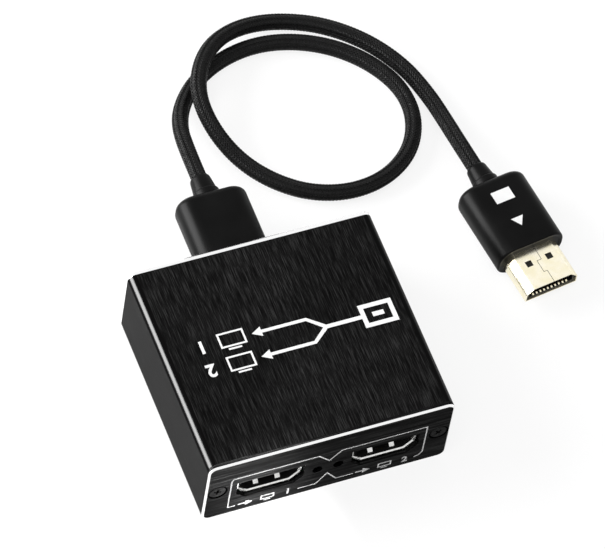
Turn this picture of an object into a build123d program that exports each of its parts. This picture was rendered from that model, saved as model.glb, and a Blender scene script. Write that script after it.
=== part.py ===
from build123d import *

import math
import os

# A one-in, two-out video splitter: an extruded aluminium sleeve closed by two flat end panels,
# a circuit board with three large ports and a small supply port, and a short braided cable
# whose plug sits in the input port at the back.
# Millimetres. +Z is up, -Y is the front with the two outputs, and the origin is the middle of
# the underside of the case.

# Case
case_width = 60.0
case_height = 22.0
tube_length = 53.0
tube_wall = 1.2
corner_radius = 2.0
panel_thickness = 1.2
panel_edge_chamfer = 0.45

# Slots of the sleeve that the board slides in
rail_depth = 1.6
rail_thickness = 1.0
board_slack = 0.1

# Screws, and the channels of the sleeve that they bite into
screw_inset = 2.95
screw_head_diameter = 4.6
screw_sink = 0.1
screw_shank_diameter = 2.5
shank_sides = 12
screw_length = 6.0
screw_slack = 0.05
recess_span = 2.4
recess_width = 0.6
recess_depth = 0.7
channel_wall = 1.1
channel_slit = 1.2

# Circuit board
board_thickness = 1.6
board_side_gap = 0.3
board_end_gap = 0.9

# Ports: the height of their middles above the underside, and their places across the case as
# shares of half its width
port_height = 9.1
output_place_share = 0.4683
input_place_share = -0.0333
power_place_share = 0.5333
rim_recess = 1.0
cutout_gap = 0.35

# Opening of a large port: full width at the top, shoulders down to a narrower flat
opening_width = 14.0
opening_height = 4.55
opening_flat = 10.2
opening_shoulder = 1.9

# Shell of a large port
shell_wall = 0.4
shell_length = 11.5
rim_flare = 0.5
rim_length = 0.8
finger_width = 1.1
finger_gap = 0.25
finger_spacing = 5.3
finger_tip = 1.5
finger_crest = 2.3
finger_root = 6.4
finger_thickness = 0.25
finger_rise = 0.55
finger_tip_rise = 0.35
finger_overlap = 0.3
leg_width = 1.2
leg_front = 2.6
leg_back = 9.2
leg_stick = 0.4
leg_slack = 0.25

# Tongue and contacts of a large port
insert_gap = 0.03
tongue_width = 11.0
tongue_thickness = 1.5
tongue_rise = 0.2
tongue_setback = 1.3
tongue_chamfer = 0.2
contact_pitch = 1.0
contact_width = 0.4
contact_thickness = 0.2
contact_setback = 0.6
upper_contacts = 10
lower_contacts = 9
upper_tail = 1.5
lower_tail = 0.5

# Supply port
power_width = 6.9
power_height = 1.85
power_flat = 5.4
power_shoulder = 0.8
power_wall = 0.3
power_length = 5.0
power_block = 1.4
power_tongue_width = 3.7
power_tongue_thickness = 0.6
power_tongue_rise = 0.3
power_tongue_setback = 0.8
power_contact_setback = 0.4
power_contacts_count = 5
power_contact_pitch = 0.65
power_contact_width = 0.3
power_contact_thickness = 0.15
power_tail = 0.4
power_leg_width = 1.0

# Plug on either end of the cable
plug_slack = 0.05
plug_wall = 0.3
plug_reach = 10.0
plug_seat = 3.2
plug_gap = 0.4
tip_gap = 0.1
latch_side = 1.6
latch_spacing = 5.4
latch_setback = 3.4
plug_insulator_setback = 0.4
slot_width = 11.6
slot_slack = 0.05
plug_contact_setback = 0.9
housing_width = 17.6
housing_height = 9.6
housing_length = 20.5
housing_corner = 3.6
housing_front_bevel = 0.5
housing_rear_bevel = 1.3

# Strain relief behind the plug
collar_radius = 3.3
collar_length = 1.8
relief_end_radius = 2.5
relief_length = 6.0

# Cable: the points of its route, chosen by hand. Its ends follow the two plugs.
cord_diameter = 4.0
cord_sides = 8
cord_lead = 8.2
far_plug_turn = 8.0
far_plug_x = 64.1
far_plug_y = 41.0
cord_bend_share = 0.45
cord_points = [
    (0.2, 70.8, 6.7),
    (3.8, 78.6, 3.0),
    (9.8, 85.2, 2.0),
    (18.2, 89.4, 2.0),
    (27.2, 90.9, 2.0),
    (36.4, 89.3, 2.0),
    (45.2, 84.8, 2.0),
    (52.2, 77.8, 2.0),
    (56.5, 69.2, 2.0),
    (56.5, 60.0, 2.0),
    (52.0, 51.5, 2.0),
    (44.0, 46.2, 2.0),
    (34.6, 44.8, 2.0),
    (25.2, 47.3, 2.0),
    (17.6, 53.0, 2.0),
    (11.8, 60.6, 2.6),
    (8.2, 69.2, 4.8),
    (7.5, 78.1, 6.7),
    (10.8, 86.0, 7.1),
    (17.0, 92.4, 5.8),
    (25.4, 95.9, 3.6),
    (34.8, 95.9, 2.0),
    (44.6, 91.8, 2.0),
    (53.2, 84.4, 2.0),
    (59.2, 75.0, 2.0),
    (62.0, 65.2, 2.0),
    (63.0, 56.4, 2.6),
]

# Indicators
led_spacing = 5.14
led_hole_diameter = 2.5
led_radius = 1.0
led_length = 2.6
led_sides = 12
led_flange_radius = 1.2
led_flange_length = 0.5
led_tip_gap = 0.4
led_leg_spacing = 1.0
led_leg_width = 0.4
led_leg_reach = 1.0
led_leg_stick = 0.5
led_hole_slack = 0.15
power_led_place_share = -0.5333

# Parts on the board
chip_side = 9.0
chip_height = 0.9
chip_chamfer = 0.15
pin_mark_radius = 0.5
pin_mark_depth = 0.1
memory_width = 3.9
memory_length = 4.9
memory_height = 1.5
memory_span = 6.0
lead_count = 4
lead_pitch = 1.27
lead_width = 0.4
lead_thickness = 0.2
memory_standoff = 0.1
crystal_length = 11.3
crystal_width = 4.6
crystal_height = 3.5
crystal_base = 0.5
crystal_flange = 0.3
regulator_width = 6.5
regulator_depth = 3.5
regulator_height = 1.6
regulator_tab_width = 3.0
regulator_lead_width = 0.7
regulator_lead_pitch = 2.3
regulator_span = 7.0
inductor_side = 5.0
inductor_height = 2.4
inductor_corner = 1.2
inductor_flange = 0.4
inductor_waist = 0.5
bulk_base_side = 5.3
bulk_base_height = 0.5
bulk_base_corner = 1.1
bulk_radius = 2.5
bulk_height = 5.4
chip_part_length = 1.6
chip_part_width = 0.8
capacitor_height = 0.8
resistor_height = 0.45

# Where they stand, as shares of half the board's width and length
splitter_place_share = (0.0, 0.0)
memory_place_share = (0.42, -0.12)
crystal_place_share = (-0.51, 0.22)
regulator_place_share = (0.70, 0.24)
inductor_place_share = (0.42, 0.24)
bulk_place_share = (0.72, 0.61)
capacitor_place_shares = [
    (-0.70, -0.37), (-0.56, -0.37), (-0.42, -0.37), (-0.28, -0.37),
    (0.28, -0.37), (0.42, -0.37), (0.56, -0.37), (0.70, -0.37),
    (-0.26, -0.12), (0.25, 0.12), (0.86, 0.0), (-0.86, 0.20),
]
resistor_place_shares = [
    (-0.63, -0.06), (-0.63, 0.04), (-0.77, -0.06), (-0.77, 0.04),
    (0.70, -0.12), (0.84, -0.12), (-0.56, 0.51), (-0.70, 0.51),
]

# One overrun serves every cut
overrun = 1.0

# What follows from the sizes above
case_half_depth = tube_length / 2 + panel_thickness
rim_y = case_half_depth - rim_recess
seat_drop = opening_height / 2 + shell_wall
board_top = port_height - seat_drop
board_bottom = board_top - board_thickness
board_width = case_width - 2 * tube_wall - 2 * board_side_gap
board_length = tube_length - 2 * board_end_gap
screw_x = case_width / 2 - screw_inset
screw_z = case_height / 2
output_spacing = output_place_share * case_width
input_offset = input_place_share * case_width / 2
power_offset = power_place_share * case_width / 2
power_led_offset = power_led_place_share * case_width / 2
channel_bore = screw_shank_diameter / 2 + screw_slack
channel_radius = channel_bore + channel_wall
power_seat_drop = power_height / 2 + power_wall
head_depth = panel_thickness - screw_sink
power_z = board_top + power_seat_drop
cavity_depth = plug_reach - plug_gap - rim_recess + tip_gap
tip_y = case_half_depth + plug_gap - plug_reach
upper_level = tongue_rise + (tongue_thickness + contact_thickness) / 2
lower_level = tongue_rise - (tongue_thickness + contact_thickness) / 2
power_level = power_tongue_rise - (power_tongue_thickness + power_contact_thickness) / 2
slot_height = tongue_thickness + 4 * contact_thickness + 2 * slot_slack
slot_depth = rim_y - tongue_setback - tip_y + tip_gap
plug_length = plug_reach + housing_length + relief_length
cord_radius = cord_diameter / 2


def slab(outline, front, back):
    """The solid with this front-view outline that runs from y = front to y = back."""
    face = Plane.XZ.offset(-front) * outline
    return extrude(face, amount=back - front, dir=(0, 1, 0))


def block(width, depth, height, x=0.0, y=0.0, bottom=0.0):
    """An upright box that stands on z = bottom, centred on x and y."""
    return Pos(x, y, bottom) * Box(width, depth, height, align=(Align.CENTER, Align.CENTER, Align.MIN))


def shouldered_outline(width, height, flat, shoulder, grow):
    """A port's front view, with every edge moved outwards by grow."""
    slope = math.atan2((width - flat) / 2, shoulder)
    half = width / 2 + grow
    top = height / 2 + grow
    shoulder_z = shoulder - height / 2 - grow * math.tan(slope / 2)
    flat_half = flat / 2 + grow * math.tan((math.pi / 2 - slope) / 2)
    return make_face(
        Polyline(
            (-half, top),
            (-half, shoulder_z),
            (-flat_half, -top),
            (flat_half, -top),
            (half, shoulder_z),
            (half, top),
            close=True,
        )
    )


def video_outline(grow=0.0):
    return shouldered_outline(opening_width, opening_height, opening_flat, opening_shoulder, grow)


def power_outline(grow=0.0):
    return shouldered_outline(power_width, power_height, power_flat, power_shoulder, grow)


def flared_shell(outline, wall, flare, rim, length):
    """A thin shell along +Y from its mouth at y = 0, whose rim flares outwards."""

    lean = math.degrees(math.atan2(flare, rim))

    def skin(grow):
        throat = Plane.XZ.offset(-rim) * outline(grow)
        return extrude(throat, amount=rim, dir=(0, -1, 0), taper=-lean) + slab(outline(grow), rim, length)

    return skin(wall) - skin(0.0)


def bent_strip(start, reach, level, floor, thickness, width, x=0.0):
    """A flat strip that runs back along +Y at a level, turns down and stands on the floor."""
    half = thickness / 2
    side = make_face(
        Polyline(
            (start, level + half),
            (reach, level + half),
            (reach, floor),
            (reach - thickness, floor),
            (reach - thickness, level - half),
            (start, level - half),
            close=True,
        )
    )
    return extrude(Plane.YZ.offset(x - width / 2) * side, amount=width, dir=(1, 0, 0))


def row(count, pitch):
    """The places of a row of things, centred on zero."""
    return [(i - (count - 1) / 2) * pitch for i in range(count)]


def rounded_panel_outline():
    return RectangleRounded(case_width, case_height, corner_radius)


def case_tube():
    """The extruded sleeve: walls, board slots and the two screw channels."""
    middle = case_height / 2
    half = tube_length / 2
    inner_width = case_width - 2 * tube_wall
    inner_height = case_height - 2 * tube_wall
    inner = Pos(0, middle) * RectangleRounded(inner_width, inner_height, corner_radius - tube_wall / 2)
    section = Pos(0, middle) * rounded_panel_outline() - inner
    for side in (-1, 1):
        wall_x = side * inner_width / 2
        rail_x = wall_x - side * (rail_depth - tube_wall / 2) / 2
        for rail_z in (
            board_top + board_slack + rail_thickness / 2,
            board_bottom - board_slack - rail_thickness / 2,
        ):
            section += Pos(rail_x, rail_z) * Rectangle(rail_depth + tube_wall / 2, rail_thickness)
        centre = side * screw_x
        web_outer = side * (case_width / 2 - tube_wall / 2)
        channel = Pos(centre, screw_z) * Circle(channel_radius)
        channel += Pos((centre + web_outer) / 2, screw_z) * Rectangle(
            abs(web_outer - centre), 2 * channel_radius
        )
        section += channel
        section -= Pos(centre, screw_z) * Circle(channel_bore)
        section -= Pos(centre - side * channel_radius, screw_z) * Rectangle(
            2 * channel_radius, channel_slit
        )
    return slab(section, -half, half)


def screw_hole(front):
    """The countersunk hole for one screw, cut from the panel's outer face inwards along +Y."""
    slope = (screw_head_diameter - screw_shank_diameter) / 2 / head_depth
    back = front + panel_thickness
    profile = make_face(
        Polyline(
            (0, front - overrun),
            (channel_bore + slope * (panel_thickness + overrun), front - overrun),
            (channel_bore, back),
            (channel_bore, back + overrun),
            (0, back + overrun),
            close=True,
        )
    )
    return revolve(profile, axis=Axis.Y)


def end_panel():
    """A bare end plate, outer face at y = -case_half_depth, with its two screw holes."""
    front = -case_half_depth
    plate = slab(Pos(0, case_height / 2) * rounded_panel_outline(), front, front + panel_thickness)
    outer_edges = plate.faces().sort_by(Axis.Y)[0].edges()
    plate = chamfer(outer_edges, panel_edge_chamfer)
    for side in (-1, 1):
        plate -= Pos(side * screw_x, 0, screw_z) * screw_hole(front)
    return plate


def video_cutout(x):
    growth = shell_wall + rim_flare + cutout_gap
    depth = panel_thickness + overrun
    return Pos(x, 0, port_height) * slab(
        video_outline(growth), -case_half_depth - overrun, -case_half_depth + depth
    )


def led_cutout(x):
    depth = panel_thickness + overrun
    return Pos(x, 0, port_height) * slab(
        Circle(led_hole_diameter / 2), -case_half_depth - overrun, -case_half_depth + depth
    )


def front_panel():
    panel = end_panel()
    for side in (-1, 1):
        panel -= video_cutout(side * output_spacing / 2)
        panel -= led_cutout(side * led_spacing / 2)
    return panel


def turned_about(shape):
    """The same shape at the back of the case instead of the front."""
    return Rot(0, 0, 180) * shape


def rear_panel():
    panel = end_panel()
    panel -= video_cutout(-input_offset)
    panel -= led_cutout(-power_led_offset)
    growth = power_wall + cutout_gap
    panel -= Pos(-power_offset, 0, power_z) * slab(
        power_outline(growth), -case_half_depth - overrun, -case_half_depth + panel_thickness + overrun
    )
    return turned_about(panel)


def screw():
    """One countersunk screw along +Y, its head's face at y = 0, with a cross recess."""
    profile = make_face(
        Polyline(
            (0, 0),
            (screw_head_diameter / 2, 0),
            (screw_shank_diameter / 2, head_depth),
            (0, head_depth),
            close=True,
        )
    )
    head = revolve(profile, axis=Axis.Y)
    shank = slab(RegularPolygon(screw_shank_diameter / 2, shank_sides), head_depth, screw_length)
    recess = slab(Rectangle(recess_span, recess_width), -overrun, recess_depth)
    recess += slab(Rectangle(recess_width, recess_span), -overrun, recess_depth)
    return head + shank - recess


def screws():
    """The two screws of the front panel."""
    y = -case_half_depth + screw_sink
    return Compound([Pos(side * screw_x, y, screw_z) * screw() for side in (-1, 1)])


def spring_finger(rise, tip_rise):
    """A leaf in the floor of a port, rooted at the back, its free tip towards the mouth."""
    floor = -opening_height / 2
    root = finger_root + finger_overlap
    side = make_face(
        Polyline(
            (root, floor),
            (finger_crest, floor + rise),
            (finger_tip, floor + tip_rise),
            (finger_tip, floor + tip_rise - finger_thickness),
            (finger_crest, floor + rise - finger_thickness),
            (root, floor - finger_thickness),
            close=True,
        )
    )
    leaf = Plane.YZ.offset(-finger_width / 2) * side
    return extrude(leaf, amount=finger_width, dir=(1, 0, 0))


def port_shell(rise, tip_rise):
    """A large port's shell, mouth at y = 0, with four spring fingers and four legs."""
    shell = flared_shell(video_outline, shell_wall, rim_flare, rim_length, shell_length)
    window_start = finger_tip - finger_gap
    window = block(
        finger_width + 2 * finger_gap,
        finger_root - window_start,
        opening_height + 2 * shell_wall + 2 * overrun,
        y=(finger_root + window_start) / 2,
        bottom=-seat_drop - overrun,
    )
    finger = spring_finger(rise, tip_rise)
    for x in row(2, finger_spacing):
        shell -= Pos(x) * window
    for x in row(2, finger_spacing):
        shell += Pos(x) * finger
        shell += Pos(x) * Rot(0, 180, 0) * finger
    top = opening_shoulder
    bottom = -seat_drop - board_thickness - leg_stick
    for side in (-1, 1):
        x = side * (opening_width + shell_wall) / 2
        for y in (leg_front, leg_back):
            shell += block(shell_wall, leg_width, top - bottom, x=x, y=y, bottom=bottom)
    return shell


def contact_slot(count, pitch, width, thickness, level, front, back):
    """The slot of a block that a row of contacts passes through."""
    row_width = (count - 1) * pitch + width
    return slab(Pos(0, level) * Rectangle(row_width, thickness), front - overrun, back + overrun)


def video_contacts():
    """Ten contacts on top of the tongue and nine below, with tails down to the board."""
    start = tongue_setback + contact_setback
    rows = (
        (upper_contacts, upper_level, shell_length + upper_tail),
        (lower_contacts, lower_level, shell_length + lower_tail),
    )
    return [
        bent_strip(start, reach, level, -seat_drop, contact_thickness, contact_width, x)
        for count, level, reach in rows
        for x in row(count, contact_pitch)
    ]


def port_insulator():
    """The black moulding of a large port: a block at the back and the tongue in front of it."""
    body = slab(video_outline(-insert_gap), cavity_depth, shell_length)
    for count, level in ((upper_contacts, upper_level), (lower_contacts, lower_level)):
        body -= contact_slot(
            count, contact_pitch, contact_width, contact_thickness, level, cavity_depth, shell_length
        )
    tongue = slab(
        Pos(0, tongue_rise) * Rectangle(tongue_width, tongue_thickness), tongue_setback, shell_length
    )
    tongue = chamfer(tongue.faces().sort_by(Axis.Y)[0].edges(), tongue_chamfer)
    return body + tongue


def power_contact_strips():
    start = power_tongue_setback + power_contact_setback
    return [
        bent_strip(
            start, power_length + power_tail, power_level, -power_seat_drop,
            power_contact_thickness, power_contact_width, x,
        )
        for x in row(power_contacts_count, power_contact_pitch)
    ]


def power_shell():
    """The supply port's shell, with a leg on each side."""
    shell = slab(power_outline(power_wall), 0, power_length)
    shell -= slab(power_outline(), -overrun, power_length + overrun)
    bottom = -power_seat_drop - board_thickness - leg_stick
    for side in (-1, 1):
        shell += block(
            power_wall, power_leg_width, -bottom, x=side * (power_width + power_wall) / 2,
            y=power_length / 2, bottom=bottom,
        )
    return shell


def power_insulator():
    front = power_length - power_block
    body = slab(power_outline(-insert_gap), front, power_length)
    body -= contact_slot(
        power_contacts_count, power_contact_pitch, power_contact_width, power_contact_thickness,
        power_level, front, power_length,
    )
    tongue = slab(
        Pos(0, power_tongue_rise) * Rectangle(power_tongue_width, power_tongue_thickness),
        power_tongue_setback, power_length,
    )
    return body + tongue


def led():
    """An indicator along +Y, its tip at y = 0, with two legs bent down through the board."""
    back = led_length + led_flange_length
    lens = slab(RegularPolygon(led_radius, led_sides), 0, led_length)
    lens += slab(RegularPolygon(led_flange_radius, led_sides), led_length, back)
    drop = -(port_height - board_bottom) - led_leg_stick
    reach = back + led_leg_reach
    for x in row(2, led_leg_spacing):
        lens += block(
            led_leg_width, reach - back + overrun, led_leg_width, x=x, y=(reach + back - overrun) / 2,
            bottom=-led_leg_width / 2,
        )
        lens += block(led_leg_width, led_leg_width, -drop, x=x, y=reach - led_leg_width / 2, bottom=drop)
    return lens


def circuit_board():
    """The board, with holes for the legs of the ports and the indicators."""
    board = block(board_width, board_length, board_thickness, bottom=board_bottom)
    height = board_thickness + 2 * overrun
    bottom = board_bottom - overrun

    def hole(width, depth, x, y, back):
        cut = block(width, depth, height, x=x, y=y, bottom=bottom)
        return turned_about(cut) if back else cut

    leg_x = (opening_width + shell_wall) / 2
    slot = (shell_wall + 2 * leg_slack, leg_width + 2 * leg_slack)
    for port_x, back in ((-output_spacing / 2, False), (output_spacing / 2, False), (-input_offset, True)):
        for side in (-1, 1):
            for y in (leg_front, leg_back):
                board -= hole(*slot, port_x + side * leg_x, -rim_y + y, back)
    for side in (-1, 1):
        x = -power_offset + side * (power_width + power_wall) / 2
        y = -rim_y + power_length / 2
        board -= hole(power_wall + 2 * leg_slack, power_leg_width + 2 * leg_slack, x, y, True)
    leg = led_leg_width + 2 * led_hole_slack
    y = led_tip_y() + led_length + led_flange_length + led_leg_reach - led_leg_width / 2
    for led_x, back in ((-led_spacing / 2, False), (led_spacing / 2, False), (-power_led_offset, True)):
        for x in row(2, led_leg_spacing):
            board -= hole(leg, leg, led_x + x, y, back)
    return board


def led_tip_y():
    return -tube_length / 2 + led_tip_gap


def splitter_chip():
    """The flat square package in the middle, with its corner mark."""
    chip = block(chip_side, chip_side, chip_height)
    chip = chamfer(chip.faces().sort_by(Axis.Z)[-1].edges(), chip_chamfer)
    corner = chip_side / 2 - 2 * pin_mark_radius
    mark = Pos(-corner, corner, chip_height) * Cylinder(pin_mark_radius, 2 * pin_mark_depth)
    return chip - mark


def gull_wing(inner, outer, top, width, y):
    """A lead that leaves a package sideways, steps down and stands on the board."""
    knee = (inner + outer) / 2
    side = make_face(
        Polyline(
            (inner, top),
            (knee + lead_thickness, top),
            (knee + lead_thickness, lead_thickness),
            (outer, lead_thickness),
            (outer, 0),
            (knee, 0),
            (knee, top - lead_thickness),
            (inner, top - lead_thickness),
            close=True,
        )
    )
    return extrude(Plane.XZ.offset(-(y - width / 2)) * side, amount=width, dir=(0, 1, 0))


def memory_chip():
    """A small package with four leads on each side."""
    body = block(memory_width, memory_length, memory_height - memory_standoff, bottom=memory_standoff)
    chip = body
    lead_top = memory_height / 2
    for y in row(lead_count, lead_pitch):
        lead = gull_wing(memory_width / 2 - lead_thickness, memory_span / 2, lead_top, lead_width, y)
        chip += lead
        chip += Rot(0, 0, 180) * lead
    return chip


def crystal():
    """A low metal can on its flange."""
    can = SlotOverall(crystal_length - 2 * crystal_flange, crystal_width - 2 * crystal_flange)
    flange = extrude(SlotOverall(crystal_length, crystal_width), amount=crystal_base)
    top = extrude(can, amount=crystal_height)
    return flange + top


def voltage_regulator():
    """A package with three leads on one side and a wide tab on the other."""
    body = block(regulator_width, regulator_depth, regulator_height - memory_standoff, bottom=memory_standoff)
    inner = regulator_depth / 2 - lead_thickness
    top = regulator_height / 2
    for y in row(lead_count - 1, regulator_lead_pitch):
        lead = gull_wing(inner, regulator_span / 2, top, regulator_lead_width, y)
        body += Rot(0, 0, -90) * lead
    tab = gull_wing(inner, regulator_span / 2, top, regulator_tab_width, 0.0)
    return body + Rot(0, 0, 90) * tab


def power_inductor():
    """A square ferrite drum: two flanges and the winding between them."""
    face = Rectangle(inductor_side, inductor_side)
    lower = extrude(chamfer(face.vertices(), inductor_corner), amount=inductor_flange)
    upper = Pos(0, 0, inductor_height - inductor_flange) * lower
    winding = Cylinder(
        inductor_side / 2 - inductor_waist, inductor_height, align=(Align.CENTER, Align.CENTER, Align.MIN)
    )
    return lower + upper + winding


def bulk_capacitor():
    """An upright can on its square base."""
    can = Cylinder(bulk_radius, bulk_height, align=(Align.CENTER, Align.CENTER, Align.MIN))
    base = block(bulk_base_side, bulk_base_side, bulk_base_height)
    corners = base.edges().filter_by(Axis.Z).sort_by(Axis.X)[2:]
    return chamfer(corners, bulk_base_corner) + can


def chip_part(height):
    """A chip capacitor or resistor."""
    return block(chip_part_length, chip_part_width, height)


def stood_on_board(shape, share):
    return Pos(share[0] * board_width / 2, share[1] * board_length / 2, board_top) * shape


def video_plug():
    """A plug in its own frame: its mouth at y = 0 looks along -Y, its wide side is up."""
    outer = -plug_slack
    inner = -(plug_slack + plug_wall)
    end = plug_reach + plug_seat
    shell = slab(video_outline(outer), 0, end) - slab(video_outline(inner), -overrun, end + overrun)
    window = block(
        latch_side, latch_side, opening_height + 2 * overrun,
        y=plug_reach - latch_setback, bottom=-opening_height / 2 - overrun,
    )
    for x in row(2, latch_spacing):
        shell -= Pos(x) * window

    ceiling = tongue_rise + slot_height / 2 - contact_thickness
    strips = [
        block(
            contact_width, slot_depth - plug_contact_setback, contact_thickness, x=x,
            y=(slot_depth + plug_contact_setback) / 2, bottom=bottom,
        )
        for count, bottom in ((upper_contacts, ceiling), (lower_contacts, tongue_rise - slot_height / 2))
        for x in row(count, contact_pitch)
    ]
    insulator = slab(video_outline(inner - insert_gap), plug_insulator_setback, end)
    slot = Pos(0, tongue_rise) * Rectangle(slot_width, slot_height)
    insulator -= slab(slot, -overrun, slot_depth)

    face = RectangleRounded(housing_width, housing_height, housing_corner)
    housing = slab(face, plug_reach, plug_reach + housing_length)
    housing = chamfer(housing.faces().sort_by(Axis.Y)[0].edges(), housing_front_bevel)
    housing = chamfer(housing.faces().sort_by(Axis.Y)[-1].edges(), housing_rear_bevel)
    housing -= slab(video_outline(outer), plug_reach - overrun, end)

    base = plug_reach + housing_length
    profile = make_face(
        Polyline(
            (0, base),
            (collar_radius, base),
            (collar_radius, base + collar_length),
            (relief_end_radius, base + relief_length),
            (0, base + relief_length),
            close=True,
        )
    )
    relief = revolve(profile, axis=Axis.Y)
    return {
        "plug_shell": shell,
        "plug_insulator": insulator,
        "plug_contacts": Compound(strips),
        "plug_housing": housing,
        "strain_relief": relief,
    }


def cord_route(near_end, far_end, heading):
    """All points of the cable's route: straight out of one plug, the loop, straight into the other."""
    points = [Vector(*near_end), Vector(near_end[0], near_end[1] + cord_lead, near_end[2])]
    points += [Vector(*p) for p in cord_points]
    points += [Vector(*far_end) - heading * cord_lead, Vector(*far_end)]
    return points


def cable(points):
    """The tube along the route: straight runs joined by arcs as large as the runs allow."""
    radii = []
    for before, here, after in zip(points, points[1:], points[2:]):
        turn = math.radians((here - before).get_angle(after - here))
        run = min((here - before).length, (after - here).length)
        radii.append(cord_bend_share * run / math.tan(turn / 2))
    print("cable: smallest bend radius", round(min(radii), 1), "of", [round(r) for r in radii])
    line = FilletPolyline(*points, radius=radii)
    start = Plane(origin=points[0], z_dir=points[1] - points[0])
    section = start * RegularPolygon(cord_radius, cord_sides)
    tube = sweep(section, path=line)
    expected = section.area * line.length
    print("cable: length", round(line.length, 1))
    print("cable: volume", round(tube.volume, 1), "expected", round(expected, 1))
    return tube


parts = {}
parts["case_tube"] = case_tube()
parts["front_panel"] = front_panel()
parts["rear_panel"] = rear_panel()
parts["front_screws"] = screws()
parts["rear_screws"] = turned_about(screws())
parts["circuit_board"] = circuit_board()

free_shell = port_shell(finger_rise, finger_tip_rise)
insulator = port_insulator()
contacts = Compound(video_contacts())
for number, x in enumerate(row(2, output_spacing), start=1):
    place = Pos(x, -rim_y, port_height)
    parts[f"output_port_{number}_shell"] = place * free_shell
    parts[f"output_port_{number}_insulator"] = place * insulator
    parts[f"output_port_{number}_contacts"] = place * contacts

# The plug in the input port presses that port's fingers flat.
input_place = Pos(input_offset, rim_y, port_height) * Rot(0, 0, 180)
parts["input_port_shell"] = input_place * port_shell(0.0, 0.0)
parts["input_port_insulator"] = input_place * insulator
parts["input_port_contacts"] = input_place * contacts

power_place = Pos(power_offset, rim_y, power_z) * Rot(0, 0, 180)
parts["power_port_shell"] = power_place * power_shell()
parts["power_port_insulator"] = power_place * power_insulator()
parts["power_port_contacts"] = power_place * Compound(power_contact_strips())

parts["output_leds"] = Compound(
    [Pos(x, led_tip_y(), port_height) * led() for x in row(2, led_spacing)]
)
parts["power_led"] = turned_about(Pos(-power_led_offset, led_tip_y(), port_height) * led())

parts["splitter_chip"] = stood_on_board(splitter_chip(), splitter_place_share)
parts["memory_chip"] = stood_on_board(memory_chip(), memory_place_share)
parts["crystal"] = stood_on_board(crystal(), crystal_place_share)
parts["voltage_regulator"] = stood_on_board(voltage_regulator(), regulator_place_share)
parts["power_inductor"] = stood_on_board(power_inductor(), inductor_place_share)
parts["bulk_capacitor"] = stood_on_board(bulk_capacitor(), bulk_place_share)
parts["ceramic_capacitors"] = Compound(
    [stood_on_board(chip_part(capacitor_height), share) for share in capacitor_place_shares]
)
parts["resistors"] = Compound(
    [stood_on_board(chip_part(resistor_height), share) for share in resistor_place_shares]
)

plug = video_plug()
near_place = Pos(input_offset, tip_y, port_height)
turn = math.radians(far_plug_turn)
heading = Vector(math.sin(turn), -math.cos(turn), 0)
far_end = (far_plug_x, far_plug_y, housing_height / 2)
far_tip = Vector(*far_end) + heading * plug_length
far_place = Pos(far_tip.X, far_tip.Y, far_tip.Z) * Rot(0, 0, far_plug_turn) * Rot(0, 180, 0)
for piece, shape in plug.items():
    near_name = "input_strain_relief" if piece == "strain_relief" else f"input_{piece}"
    parts[near_name] = near_place * shape
    parts[f"far_{piece}"] = far_place * shape

near_end = (input_offset, tip_y + plug_length, port_height)
parts["cable"] = cable(cord_route(near_end, far_end, heading))

os.makedirs("parts", exist_ok=True)
for name, shape in parts.items():
    shape.label = name
    export_step(shape, f"parts/{name}.step")
print(len(parts), "parts written")
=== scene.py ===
"""A one-in two-out video splitter with its braided input cable, dressed for a studio still.

Everything is in metres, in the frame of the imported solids: +Z up, output ports towards -Y.
"""
import math

import bmesh
import bpy
import numpy
from mathutils import Matrix, Vector


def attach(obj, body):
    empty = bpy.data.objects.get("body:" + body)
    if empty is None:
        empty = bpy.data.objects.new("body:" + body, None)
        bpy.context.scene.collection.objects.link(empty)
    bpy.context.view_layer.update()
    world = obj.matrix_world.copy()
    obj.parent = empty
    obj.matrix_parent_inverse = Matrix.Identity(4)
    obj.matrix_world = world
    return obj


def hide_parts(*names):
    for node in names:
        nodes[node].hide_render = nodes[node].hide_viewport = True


MM = 0.001

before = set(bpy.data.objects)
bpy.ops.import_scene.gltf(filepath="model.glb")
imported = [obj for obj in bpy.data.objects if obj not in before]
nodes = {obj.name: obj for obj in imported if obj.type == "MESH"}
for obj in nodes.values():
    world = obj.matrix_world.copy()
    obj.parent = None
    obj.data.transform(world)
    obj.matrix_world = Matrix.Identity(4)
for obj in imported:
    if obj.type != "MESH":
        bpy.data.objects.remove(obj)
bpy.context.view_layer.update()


# The case, as the solids have it.
case_width = 60.0 * MM
case_height = 22.0 * MM
case_half_depth = 27.7 * MM
corner_radius = 2.0 * MM
screw_across = 27.05 * MM
countersink_radius = 2.42 * MM
port_across = 14.049 * MM
port_front = -26.7 * MM
port_middle = 9.1 * MM


def linear(code):
    """An sRGB hex colour as linear RGBA."""
    parts = [int(code[i:i + 2], 16) / 255 for i in (1, 3, 5)]
    return [c / 12.92 if c <= 0.04045 else ((c + 0.055) / 1.055) ** 2.4 for c in parts] + [1.0]


def add_node(tree, kind, inputs=None, stops=(), **settings):
    """Adds one shader node with its settings, colour stops, values and links, and returns its outputs."""
    made = tree.nodes.new(kind)
    for name, value in settings.items():
        setattr(made, name, value)
    for number, (place, code) in enumerate(stops):
        elements = made.color_ramp.elements
        element = elements[number] if number < 2 else elements.new(place)
        element.position = place
        element.color = linear(code)
    for name, value in (inputs or {}).items():
        if isinstance(value, bpy.types.NodeSocket):
            tree.links.new(value, made.inputs[name])
        else:
            made.inputs[name].default_value = value
    return made.outputs


def new_material(name):
    """An empty material and its node tree."""
    material = bpy.data.materials.new(name)
    material.use_nodes = True
    material.node_tree.nodes.clear()
    return material, material.node_tree


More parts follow.
